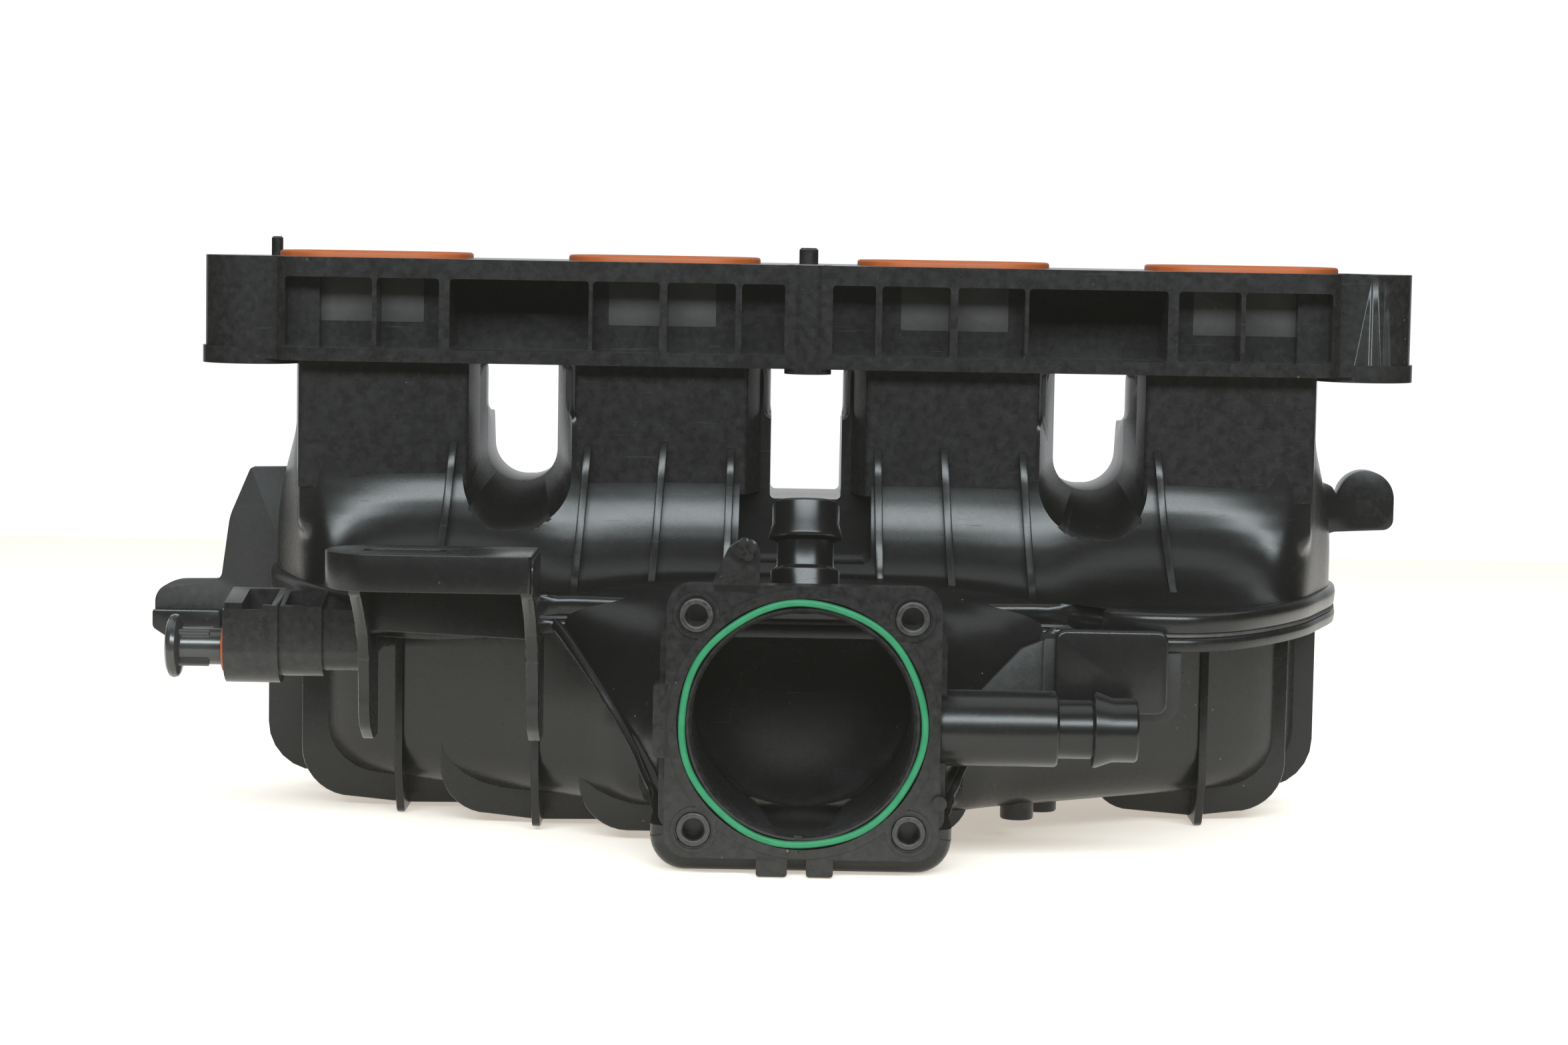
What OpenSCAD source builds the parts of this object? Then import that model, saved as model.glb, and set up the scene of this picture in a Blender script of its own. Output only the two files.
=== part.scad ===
// Intake manifold for a four-cylinder engine: three welded nylon shells, rubber port and throttle seals,
// steel bolt limiters and inserts, and the transit plug of its purge socket.
// Origin at the middle of the head face; +Z out of that face, +X along the ports, -Y towards the throttle.

/* [Head flange] */
// Half of the head flange's length, to the outside of an end boss
flange_half_l = 174.5; // [172:0.5:178]
// Depth of the head flange, front to back
flange_d = 60; // [58:1:64]
// Height of the head flange
flange_h = 29.5; // [28.5:0.5:32]
// Thickness of the sealing plate at the top of the head flange
seal_plate_t = 5.6; // [5:0.1:6]
// Thickness of the plate at the bottom of the head flange
lower_plate_t = 3.7; // [3:0.1:4.5]
// Radius of an end boss
end_boss_r = 13.5; // [12.5:0.5:14]

/* [Ports and runners] */
// Distance between neighbouring ports
port_pitch = 84; // [83:0.5:85]
// Width of a port opening
port_w = 43; // [41:0.5:44]
// Depth of a port opening
port_d = 28; // [26:0.5:29]
// Width of a port gasket over its outside
gasket_w = 55.7; // [54:0.1:56]
// Depth of a port gasket over its outside
gasket_d = 40.7; // [39:0.1:41]
// Width of a port gasket's band
gasket_band = 4; // [3:0.1:4.2]
// Height that a port gasket stands out of the head face
gasket_proud = 1.7; // [1:0.1:2]
// Depth of a runner, front to back
runner_d = 44; // [42:1:46]
// Wall thickness of the shells
wall = 3; // [2.5:0.1:3.5]

/* [Plenum] */
// Height of the weld seam between the upper and the lower shell
seam_z = -100; // [-102:1:-99]
// Height of the lowest face, on which the manifold stands
foot_z = -164; // [-166:1:-163]
// Height of the plenum's belly
belly_z = -152; // [-154:1:-150]
// Back face of the front shells, where the rear shell is welded on
rear_y = 35; // [34:1:36]
// Depth of the rear shell
rear_d = 25; // [24:1:28]

/* [Throttle flange] */
// Bore of the throttle flange
throttle_bore_d = 60; // [58:0.5:60]
// Height of the throttle axis
throttle_z = -122.3; // [-123:0.1:-122]
// Front face of the throttle flange
throttle_y = -95; // [-96:1:-94]
// Thickness of the throttle flange
throttle_t = 8; // [7:0.5:9]
// Distance between neighbouring throttle screws
throttle_pitch = 58; // [57:0.5:58.5]
// Thread hole of a throttle insert
throttle_hole_d = 5.6; // [5:0.1:6]

/* [Hose nipples] */
// Diameter of the brake servo nipple at its barb land
servo_land_d = 18; // [17:0.5:18.5]
// Diameter of the breather nipple's tube
breather_d = 20.5; // [20:0.5:21]

/* [Purge socket] */
// Height of the purge socket's axis
socket_z = -109; // [-110:0.5:-108]
// Depth position of the purge socket's axis
socket_y = -52; // [-54:1:-50]
// Diameter of the transit plug's shank
plug_d = 10.3; // [10:0.1:10.6]

/* [Hidden] */
$fn = 64;
NYLON = [0.11, 0.11, 0.11];
ORANGE = [0.85, 0.35, 0.13];
GREEN = [0.12, 0.6, 0.42];
STEEL = [0.7, 0.7, 0.72];
DARK_STEEL = [0.3, 0.3, 0.31];
GREY = [0.25, 0.25, 0.26];

// Ports, and the stretch of X that each runner takes below the head flange
port_x = [for (i = [0:3]) (i - 1.5) * port_pitch];
runner_x = [[-150, -94], [-72.5, -10.7], [10.7, 72.5], [94, 150]];
runner_front = -runner_d / 2;
window_floor = [-63, -68, -63];

// Head bolts and the pegs that find the head
end_boss_x = flange_half_l - end_boss_r;
bolt_at = [[-end_boss_x, -8], [-84, 14], [0, -24.5], [84, 14], [end_boss_x, -8]];
bolt_boss_r = 6.7;
boss_drop = 1.5;
limiter_r = 4.7;
limiter_hole_r = 3.3;

// Pockets between the ribs of the head flange: from, to, how far in
port_wall_y = port_d / 2 + wall;
gasket_corner_r = 17;
pockets = [[6.8, 19, port_wall_y], [20.8, 40.2, port_wall_y], [42.4, 61.4, port_wall_y], [62.5, 102, 2],
    [105, 122.7, port_wall_y], [124, 149, port_wall_y]];

// The roof's flare is a quarter of an ellipse that turns from upright to level
flare_z = -58;
flare_a = 63;
flare_b = 35;
flare_y = runner_front - flare_a;
cavity_top = -73;
roof_half_w = 161.5;
runner_half_w = 150;
shoulder_z = -48;
seam_flange_h = 4;
rib_t = 2.4;
frame_t = 3;

// Right half of the seam's outline, from the neck round the shoulder to the back
seam_half = [[40, -50], [69, -46], [84, -60], [100, -67.5], [116, -62], [128, -50], [141, -28], [150, -5],
    [158, 15], [roof_half_w, rear_y]];
// Right half of the belly's outline
belly_half = [[45, -52], [62, -42], [104, -14], [140, 12], [150, rear_y]];

insert_r = 4.8;
insert_at = [for (sx = [-1, 1], sz = [1, -1])
    [sx * throttle_pitch / 2, throttle_z + sz * throttle_pitch / 2]];
plate_w = 74;
plate_h = 75;
throttle_back = throttle_y + throttle_t;
inlet_r = throttle_bore_d / 2 + 1;
seal_r = 32.7;
seal_w = 1.9;

foot_rib_x = 118;
stay_boss = [[62.5, -25], [70.2, -10]];
stay_boss_r = 4.8;
stay_insert_r = 3.2;
stay_hole_r = 2;
stay_insert_l = 10;
stay_z = -158;

breather_y = -83;
breather_bore_r = 5.5;
nipple_root_x = plate_w / 2;
breather_z = -124;
servo_lean = 12;
servo_at = [0, -70, -90];

socket_mouth_x = -161;
plug_r = plug_d / 2;
socket_bore_r = plug_r + 0.08;
seal_x = [-161, -157.5];
seal_out_r = 7.4;
plug_tip_x = -140;
plug_disc_x = -177.5;
plug_l = plug_tip_x - plug_disc_x;
socket_rim_z = -96.4;
purge_turn_x = -126;
purge_tube_r = 5.8;
purge_bore_r = 3.6;

// ---- helpers ----

function mirrored(half) = concat(half, [for (i = [len(half) - 1:-1:0]) [-half[i][0], half[i][1]]]);

function corner(cx, cy, r, from) = [for (a = [0:15:90]) [cx + r * cos(from + a), cy + r * sin(from + a)]];

// A rectangle from its low corner to its high corner, with round corners
function box_outline(x0, y0, x1, y1, r) = concat(corner(x1 - r, y1 - r, r, 0), corner(x0 + r, y1 - r, r, 90),
    corner(x0 + r, y0 + r, r, 180), corner(x1 - r, y0 + r, r, 270));

// The flare's curve, moved into the wall by inset, from angle a0 on
function flare(inset, a0 = 0) = [for (i = [0:12]) let (t = a0 + (90 - a0) * i / 12)
    [flare_y + (flare_a + inset) * cos(t), flare_z - (flare_b + inset) * sin(t)]];

// Half of the roof's width at a height
function side_x(z) = z > shoulder_z ? runner_half_w
    : runner_half_w + (roof_half_w - runner_half_w) * sin(min(90, 90 * (shoulder_z - z) / 40));

// Extrudes a YZ outline from x0 to x1
module along_x(x0, x1) {
    translate([x0, 0, 0]) rotate([90, 0, 90]) linear_extrude(x1 - x0) children();
}

// A rib across X, from its YZ outline
module rib_x(x) {
    along_x(x - rib_t / 2, x + rib_t / 2) children();
}

// Extrudes an XZ outline from y0 to y1
module along_y(y0, y1) {
    translate([0, y1, 0]) rotate([90, 0, 0]) linear_extrude(y1 - y0) children();
}

// Extrudes an XY outline from z0 to z1
module along_z(z0, z1) {
    translate([0, 0, z0]) linear_extrude(z1 - z0) children();
}

module block(low, high) {
    translate(low) cube(high - low);
}

module rod_x(x0, x1, y, z, r) {
    translate([x0, y, z]) rotate([0, 90, 0]) cylinder(h = x1 - x0, r = r);
}

module rod_y(x, y0, y1, z, r) {
    translate([x, y1, z]) rotate([90, 0, 0]) cylinder(h = y1 - y0, r = r);
}

module rod_z(x, y, z0, z1, r) {
    translate([x, y, z0]) cylinder(h = z1 - z0, r = r);
}

// ---- upper shell ----

module head_flange() {
    difference() {
        union() {
            along_z(-flange_h, 0) polygon(box_outline(-152, -flange_d / 2, 152, flange_d / 2, 8));
            for (s = [-1, 1]) {
                rod_z(s * end_boss_x, bolt_at[0][1], -flange_h - boss_drop, 0, end_boss_r);
                block([min(s * 140, s * end_boss_x), bolt_at[0][1] - end_boss_r, -flange_h],
                    [max(s * 140, s * end_boss_x), bolt_at[0][1] + end_boss_r, 0]);
            }
        }
        for (p = pockets, s = [-1, 1]) {
            low = min(s * p[0], s * p[1]);
            high = max(s * p[0], s * p[1]);
            block([low, -flange_d / 2 - 1, -flange_h + lower_plate_t], [high, -p[2], -seal_plate_t]);
        }
        for (p = pockets, s = [-1, 1]) {
            low = min(s * p[0], s * p[1]);
            high = max(s * p[0], s * p[1]);
            if (p[2] > 10)
                block([low, p[2], -flange_h + lower_plate_t], [high, flange_d / 2 + 1, -seal_plate_t]);
        }
    }
    rod_z(bolt_at[2][0], bolt_at[2][1], -flange_h - boss_drop, 0, bolt_boss_r);
    rod_z(-156, 6, -1, 5.5, 1.7);
    rod_z(0, 18, -1, 4.7, 2.85);
}

module runner_tubes() {
    for (r = runner_x) {
        along_z(cavity_top - 3, -flange_h + 1)
            polygon(box_outline(r[0], runner_front, r[1], -runner_front, 9));
    }
}

// The roof's outline from the side, up to a height, with its faces moved in by inset
module roof_side(inset, top) {
    reach = inset > 0 ? 0.1 : 0;
    polygon(concat([[rear_y + reach, seam_z - reach], [rear_y + reach, -70 - inset],
        [-runner_front - inset, -56 - inset], [-runner_front - inset, top], [runner_front + inset, top]],
        flare(inset), [[-100, flare_z - flare_b - inset], [-100, seam_z - reach]]));
}

// The part of the cavity that runs under all the runners
module cavity_side() {
    polygon(concat([[rear_y + 0.1, seam_z - 0.1], [rear_y + 0.1, cavity_top], [runner_front, cavity_top]],
        flare(wall, 28), [[-100, flare_z - flare_b - wall], [-100, seam_z - 0.1]]));
}

// The roof's outline from the front: its sides swell from the runners to the seam
module roof_front(inset) {
    steps = [for (z = [-44:-4:-104]) [side_x(z) - inset, z]];
    polygon(concat([[runner_half_w - inset, -30]], mirrored(steps), [[-runner_half_w + inset, -30]]));
}

// An outline whose right half is given, moved in by the same amount all round
module inset_outline(half, inset) {
    polygon(mirrored([for (i = [0:len(half) - 1]) inset_point(half, i, inset)]));
}

function inset_point(line, i, inset) =
    let (a = line[max(i - 1, 0)], b = line[min(i + 1, len(line) - 1)], d = b - a, l = norm(d))
    i == len(line) - 1 ? [line[i][0] - inset, rear_y + (inset > 0 ? 1 : 0)]
    : line[i] + inset * [-d[1], d[0]] / l;

module roof_solid() {
    intersection() {
        along_x(-170, 170) roof_side(0, flare_z);
        along_z(seam_z, -40) inset_outline(seam_half, 0);
        along_y(-100, rear_y) roof_front(0);
    }
}

module roof_cavity() {
    intersection() {
        union() {
            for (r = runner_x) {
                along_x(r[0] + wall, r[1] - wall) roof_side(wall, -45);
            }
            along_x(-170, 170) cavity_side();
        }
        along_z(seam_z - 1, -40) inset_outline(seam_half, wall * 1.3);
        along_y(-100, rear_y + 1) roof_front(wall);
    }
}

module gusset_ribs() {
    rib_h = 5;
    intersection() {
        for (x = [-103, -62.5, -41.3, -21, 20, 39, 62, 100.6]) {
            rib_x(x) polygon(concat([[runner_front + 1, -52], [runner_front - rib_h, flare_z]], flare(-rib_h),
                [[flare_y, flare_z - flare_b - 1], [runner_front + 1, flare_z - flare_b - 1]]));
        }
        along_z(seam_z, -40) inset_outline(seam_half, 0);
    }
}

module neck_top() {
    intersection() {
        union() {
            rod_y(0, throttle_back - 1, -44, throttle_z, inlet_r + wall);
            hull() {
                block([-68, -48, seam_z], [68, -46, seam_z + 7]);
                block([-25, throttle_back - 1, seam_z], [25, throttle_back, seam_z + 4]);
            }
        }
        block([-80, throttle_y, seam_z], [80, -40, -80]);
    }
}

module throttle_plate() {
    z0 = throttle_z - plate_h / 2 + 0.8;
    along_y(throttle_y, throttle_back) {
        polygon(box_outline(-plate_w / 2, z0, plate_w / 2, z0 + plate_h, 8));
        polygon([[-32, z0 + plate_h - 1], [-20, z0 + plate_h + 10], [-16, z0 + plate_h + 12.5],
            [-12, z0 + plate_h + 11], [-9.5, z0 + plate_h + 7], [-9.5, z0 + plate_h - 1]]);
        translate([-plate_w / 2 - 3.3, -130]) square([4.3, 18]);
        translate([-12, foot_z]) square([8.4, 8]);
        translate([1.5, foot_z]) square([7.3, 8]);
    }
    rod_y(-16, throttle_y - 2.5, throttle_y + 1, -75.5, 2.2);
    rod_y(plate_w / 2, throttle_y - 2, throttle_y + 1, -142.9, 2);
}

// The brake servo nipple on top of the neck, as an outline turned about its own axis
module servo_nipple() {
    r = servo_land_d / 2;
    translate(servo_at) rotate([-servo_lean, 0, 0]) rotate_extrude()
        polygon([[0, -4], [9.25, -4], [9.25, 7], [7.65, 7.8], [7.65, 15], [10.15, 15.6], [10.15, 17],
            [r, 19.6], [r, 26], [0, 26]]);
}

// The opening of a port
module port_outline(x) {
    polygon(box_outline(x - port_w / 2, -port_d / 2, x + port_w / 2, port_d / 2, 12));
}

module runner_shell() {
    color(NYLON) difference() {
        union() {
            head_flange();
            runner_tubes();
            roof_solid();
            gusset_ribs();
            neck_top();
            throttle_plate();
            servo_nipple();
        }
        roof_cavity();
        for (i = [0:3]) {
            hull() {
                along_z(-12, -11) port_outline(port_x[i]);
                along_z(-46, -45) polygon(box_outline(runner_x[i][0] + wall, runner_front + wall,
                    runner_x[i][1] - wall, -runner_front - wall, 6));
            }
            along_z(-12, 1) port_outline(port_x[i]);
            gasket_ring(port_x[i], -3, 1);
        }
        for (i = [0:2]) {
            x = (i - 1) * port_pitch;
            half = i == 1 ? 10.7 : 10.75;
            r = i == 1 ? 1.5 : 10;
            along_y(-40, 60) {
                polygon(box_outline(x - half, window_floor[i], x + half, -flange_h, r));
                translate([x - half, -45]) square([2 * half, 45 - flange_h]);
            }
        }
        rod_y(0, throttle_y - 1, throttle_back, throttle_z, throttle_bore_d / 2);
        rod_y(0, throttle_back, -40, throttle_z, inlet_r);
        block([-55, -66, seam_z - 1], [55, -40, seam_z + 4]);
        throttle_seal_ring(throttle_y + 3, 0.05);
        for (p = insert_at) {
            rod_y(p[0], throttle_y - 1, throttle_back + 1, p[1], insert_r);
        }
        for (p = bolt_at) {
            rod_z(p[0], p[1], -flange_h - 3, 1, limiter_r);
        }
        translate(servo_at) rotate([-servo_lean, 0, 0]) translate([0, 0, -12]) cylinder(h = 40, r = 5.5);
    }
}

// ---- lower shell ----

module belly(inset) {
    z0 = belly_z + inset;
    intersection() {
        along_y(-60, rear_y + (inset > 0 ? 1 : 0))
            polygon(box_outline(-runner_half_w + inset, z0, runner_half_w - inset, seam_z + 20, 22 - inset));
        along_z(foot_z, seam_z + (inset > 0 ? 1 : 0)) inset_outline(belly_half, inset * 1.3);
    }
}

// A stiffening frame round the belly, from x0 to x1
module frame(y, x0, x1, r0, r1, z0 = -161) {
    along_y(y - frame_t / 2, y + frame_t / 2) polygon(concat([[x1, seam_z - 2], [x0, seam_z - 2]],
        corner(x0 + r0, z0 + r0, r0, 180), corner(x1 - r1, z0 + r1, r1, 270)));
}

module throttle_box() {
    along_y(throttle_back, -40) polygon(box_outline(-40.5, foot_z, 40.5, seam_z + 9, 9));
}

module breather_nipple() {
    r = breather_d / 2;
    tip_r = breather_d / 2 - 1.6;
    neck_r = 7.9;
    translate([nipple_root_x, breather_y, breather_z]) rotate([0, 90, 0]) rotate_extrude()
        polygon([[0, 0], [r, 0], [r, 32], [neck_r, 32], [neck_r, 41.5], [r, 41.8], [r, 42.6], [tip_r, 47],
            [tip_r, 53.7], [0, 53.7]]);
}

// Mounting block and its plate, on the right shoulder
module sensor_tongue() {
    along_y(-72.5, -68) polygon(box_outline(69, -121, 100, -98, 3));
    along_y(-68, -63) polygon(box_outline(66, -124, 104, seam_z - 1, 3));
    along_y(-67, -64) polygon([[67, -101], [67, -122], [46, -119], [60, -108]]);
    block([66, -68, seam_z - 8], [104, -55, seam_z - 1]);
}

// Console that carries a cable bracket: slab with a slotted hole, two webs and a back wall
module console() {
    difference() {
        along_z(-88, -78) {
            polygon(concat([[-73, -70], [-114, -70]],
                [for (a = [90:15:270]) [-114.5 + 15 * cos(a), -85 + 15 * sin(a)]],
                [[-73, -100]]));
        }
        along_z(-89, -77) {
            translate([-116, -85]) circle(r = 3.5);
            translate([-100, -85]) circle(r = 3.5);
            translate([-116, -88.5]) square([16, 7]);
        }
    }
    web = [[-72, -86], [-97, -86], [-90, -94], [-82, -104], [-78, -116], [-76, -134], [-60, -140],
        [-40, -140],
        [-40, -103], [-72, -103]];
    along_x(-76, -72.5) polygon(concat([[-72, -79], [-99, -79]], web));
    along_x(-122, -118.8) polygon(web);
    block([-122, -74, -104], [-72.5, -68, -82]);
}

// One step of the purge socket: a half-round wall along X with upright sides
module trough(x0, x1, r) {
    rod_x(x0, x1, socket_y, socket_z, r);
    block([x0, socket_y - r, socket_z], [x1, socket_y + r, socket_rim_z]);
}

// The socket is open above; its tube turns back into the belly
module purge_socket() {
    difference() {
        union() {
            trough(socket_mouth_x, -146, 9.5);
            trough(-147, -134, 7.9);
            rod_x(-135, -119.5, socket_y, socket_z, 6);
            rod_y(purge_turn_x, socket_y, 4, socket_z, purge_tube_r);
            block([-148, socket_y, seam_z - seam_flange_h], [-104, -14, seam_z]);
        }
        block([-156, socket_y - 8, socket_z + 1.5], [-147.5, socket_y + 8, socket_rim_z + 1]);
        block([-144.5, socket_y - 6.4, socket_z + 1.5], [-135, socket_y + 6.4, socket_rim_z + 1]);
    }
}

module plenum_shell() {
    color(NYLON) difference() {
        union() {
            along_z(seam_z - seam_flange_h, seam_z) inset_outline(seam_half, 0);
            belly(0);
            intersection() {
                throttle_box();
                block([-50, -100, foot_z - 1], [50, 0, seam_z]);
            }
            frame(15, -148, 0, 22, 2);
            frame(-12, -104, 0, 20, 2);
            frame(-38, -62, 0, 18, 2);
            frame(15, 88, 144, 14, 20);
            for (s = [-1, 1]) {
                rib_x(s * foot_rib_x)
                    polygon([[-14, seam_z], [rear_y, seam_z], [rear_y, foot_z], [-6, foot_z]]);
            }
            rib_x(-76) polygon([[-44, seam_z], [0, seam_z], [0, -163], [-30, -163]]);
            for (p = stay_boss) {
                rod_z(p[0], p[1], stay_z, seam_z - 1, stay_boss_r);
            }
            breather_nipple();
            sensor_tongue();
            console();
            purge_socket();
        }
        belly(wall);
        intersection() {
            along_y(throttle_back + 6, -30) polygon(box_outline(-37, foot_z + wall, 37, seam_z + 9, 7));
            block([-50, -100, foot_z], [50, 0, seam_z + 1]);
        }
        rod_y(0, throttle_back - 1, -40, throttle_z, inlet_r);
        rod_x(28, 95, breather_y, breather_z, breather_bore_r);
        rod_x(-155, purge_turn_x + purge_bore_r, socket_y, socket_z, purge_bore_r);
        rod_y(purge_turn_x, socket_y, 10, socket_z, purge_bore_r);
        rod_x(-156, -134, socket_y, socket_z, socket_bore_r);
        rod_x(seal_x[0] - 1, seal_x[1], socket_y, socket_z, seal_out_r);
        rod_x(seal_x[1] - 1, -154, socket_y, socket_z, socket_bore_r);
        for (p = stay_boss) {
            rod_z(p[0], p[1], stay_z - 1, stay_z + stay_insert_l, stay_insert_r);
        }
    }
}

// ---- rear shell ----

module rear_shell() {
    color(NYLON) difference() {
        union() {
            along_y(rear_y, rear_y + 5) polygon(box_outline(-162, -157, 156, -72, 15));
            along_y(rear_y, rear_y + rear_d) polygon(box_outline(-151, -154, 151, -73, 18));
            along_y(40, 46) polygon([[-148, -64.5], [-168.7, -65], [-175, -80], [-177.6, -99.5], [-193, -99.5],
                [-198, -103], [-198, -113], [-193, -117], [-148, -117]]);
            along_y(rear_y, rear_y + 11) polygon([[-176, -99], [-193, -99], [-198, -103],
                [-198, -113], [-193, -117], [-176, -117]]);
            along_y(40, 48) polygon([[140, -80], [150, -66], [165, -62], [172, -60], [172, -74], [162, -76],
                [150, -90]]);
            rod_y(171.5, 40, 48, -68.5, 8.5);
            for (s = [-1, 1]) {
                rib_x(s * foot_rib_x)
                    polygon([[rear_y, foot_z], [rear_y + 14, foot_z], [rear_y + rear_d, -156],
                    [rear_y + rear_d, -130], [rear_y, -130]]);
            }
        }
        along_y(rear_y - 1, rear_y + rear_d - wall)
            polygon(box_outline(-runner_half_w + wall, belly_z + wall, runner_half_w - wall, -76, 17));
    }
}

// ---- seals, metal parts and the plug ----

module gasket_ring(x, z0, z1) {
    w = gasket_w / 2;
    d = gasket_d / 2;
    difference() {
        along_z(z0, z1) polygon(box_outline(x - w, -d, x + w, d, gasket_corner_r));
        along_z(z0 - 1, z1 + 1) polygon(box_outline(x - w + gasket_band, -d + gasket_band,
            x + w - gasket_band, d - gasket_band, gasket_corner_r - gasket_band));
    }
}

module port_gasket(i) {
    color(ORANGE) gasket_ring(port_x[i], -3, gasket_proud);
}

module throttle_seal_ring(y1, gap) {
    translate([0, y1, throttle_z]) rotate([90, 0, 0]) rotate_extrude()
        translate([seal_r - seal_w / 2 - gap, 0])
            square([seal_w + 2 * gap, y1 - throttle_y + (gap > 0 ? 1 : 0.6)]);
}

module throttle_seal() {
    color(GREEN) throttle_seal_ring(throttle_y + 3, 0);
}

module throttle_insert(i) {
    p = insert_at[i];
    color(DARK_STEEL) difference() {
        rod_y(p[0], throttle_y, throttle_back, p[1], insert_r);
        rod_y(p[0], throttle_y - 1, throttle_back + 1, p[1], throttle_hole_d / 2);
    }
}

module head_limiter(i) {
    p = bolt_at[i];
    color(STEEL) difference() {
        rod_z(p[0], p[1], -flange_h, 0, limiter_r);
        rod_z(p[0], p[1], -flange_h - 1, 1, limiter_hole_r);
    }
}

module stay_insert(i) {
    p = stay_boss[i];
    color(DARK_STEEL) difference() {
        rod_z(p[0], p[1], stay_z, stay_z + stay_insert_l, stay_insert_r);
        rod_z(p[0], p[1], stay_z - 1, stay_z + stay_insert_l + 1, stay_hole_r);
    }
}

module socket_seal() {
    color(ORANGE) difference() {
        rod_x(seal_x[0] - 0.4, seal_x[1], socket_y, socket_z, seal_out_r);
        rod_x(seal_x[0] - 1, seal_x[1] + 1, socket_y, socket_z, plug_r + 0.05);
    }
}

module transit_plug() {
    color(GREY) translate([plug_disc_x, socket_y, socket_z]) rotate([0, 90, 0]) rotate_extrude()
        polygon([[0, 0], [9, 0], [9.5, 0.8], [9.5, 2.6], [8.8, 3.4], [plug_r, 4], [plug_r, plug_l - 2],
            [plug_r - 1.5, plug_l], [0, plug_l]]);
}

runner_shell();
plenum_shell();
rear_shell();
port_gasket(0);  // port_gasket_1
port_gasket(1);  // port_gasket_2
port_gasket(2);  // port_gasket_3
port_gasket(3);  // port_gasket_4
throttle_seal();
throttle_insert(0);  // throttle_insert_1
throttle_insert(1);  // throttle_insert_2
throttle_insert(2);  // throttle_insert_3
throttle_insert(3);  // throttle_insert_4
head_limiter(0);  // head_limiter_1
head_limiter(1);  // head_limiter_2
head_limiter(2);  // head_limiter_3
head_limiter(3);  // head_limiter_4
head_limiter(4);  // head_limiter_5
stay_insert(0);  // stay_insert_1
stay_insert(1);  // stay_insert_2
socket_seal();
transit_plug();
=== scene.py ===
import math

import bmesh
import bpy
from mathutils import Matrix, Vector, noise


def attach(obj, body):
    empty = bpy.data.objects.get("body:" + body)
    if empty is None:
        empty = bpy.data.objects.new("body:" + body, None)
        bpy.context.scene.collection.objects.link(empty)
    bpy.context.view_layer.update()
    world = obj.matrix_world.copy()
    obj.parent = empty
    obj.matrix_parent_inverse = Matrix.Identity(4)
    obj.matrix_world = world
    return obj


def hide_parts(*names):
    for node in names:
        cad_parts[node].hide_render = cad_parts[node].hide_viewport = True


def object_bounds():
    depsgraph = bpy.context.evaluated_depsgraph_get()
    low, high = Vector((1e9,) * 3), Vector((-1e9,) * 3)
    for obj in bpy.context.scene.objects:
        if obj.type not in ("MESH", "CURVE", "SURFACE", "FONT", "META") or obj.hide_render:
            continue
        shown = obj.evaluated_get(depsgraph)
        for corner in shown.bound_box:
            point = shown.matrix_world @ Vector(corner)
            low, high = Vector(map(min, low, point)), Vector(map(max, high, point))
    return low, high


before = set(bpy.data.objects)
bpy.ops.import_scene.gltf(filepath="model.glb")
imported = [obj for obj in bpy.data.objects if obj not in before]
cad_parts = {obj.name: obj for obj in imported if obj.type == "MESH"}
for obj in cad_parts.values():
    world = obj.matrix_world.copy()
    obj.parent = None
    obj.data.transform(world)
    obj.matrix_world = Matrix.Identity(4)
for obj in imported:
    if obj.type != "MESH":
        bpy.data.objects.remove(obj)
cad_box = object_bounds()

# ---- Camera ----
# A long lens stands a metre in front of the throttle flange, level with the head face, and looks slightly down.
# It is turned a touch about its own line of sight, so the manifold leans down to the right.
MM = 0.001
EYE = Vector((-6.0, -1045.0, 10.0)) * MM
LENS = 82.0
LOOK_DOWN = math.radians(4.69)
LEAN = math.radians(1.0)

camera = bpy.data.objects.new("camera", bpy.data.cameras.new("camera"))
bpy.context.scene.collection.objects.link(camera)
camera.data.lens = LENS
camera.data.sensor_width = 36.0
camera.data.clip_start = 0.02
camera.matrix_world = (Matrix.Translation(EYE) @ Matrix.Rotation(math.pi / 2 - LOOK_DOWN, 4, "X")
                       @ Matrix.Rotation(LEAN, 4, "Z"))
bpy.context.scene.camera = camera

# ---- Studio ----
# A light table that ends just in front of the object and a white room behind it, with a long softbox hung high in
# front. The room on the camera's side stays dark, so upright faces are black and sloping ones catch the softbox.
FLOOR_Z = cad_box[0][2]
SOFTBOXES = [
    ("front_softbox", (0.0, -1.0, 0.50), (0.0, -0.05, -0.07), (1.7, 0.27), 25.0, (0.88, 0.97, 1.0)),
    ("overhead", (0.0, 0.25, 1.2), (0.0, 0.0, -0.05), (3.2, 1.5), 20.0, (0.93, 0.97, 1.0)),
]


def softbox(name, place, target, size, watts, colour):
    """A flat light that faces its target and is hidden from the camera."""
    light = bpy.data.lights.new(name, "AREA")
    light.shape = "RECTANGLE"
    light.size, light.size_y = size
    light.energy = watts
    light.color = colour
    lamp = bpy.data.objects.new(name, light)
    bpy.context.scene.collection.objects.link(lamp)
    lamp.location = place
    lamp.rotation_euler = (Vector(target) - Vector(place)).to_track_quat("-Z", "Y").to_euler()
    lamp.visible_camera = False


for box in SOFTBOXES:
    softbox(*box)

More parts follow.
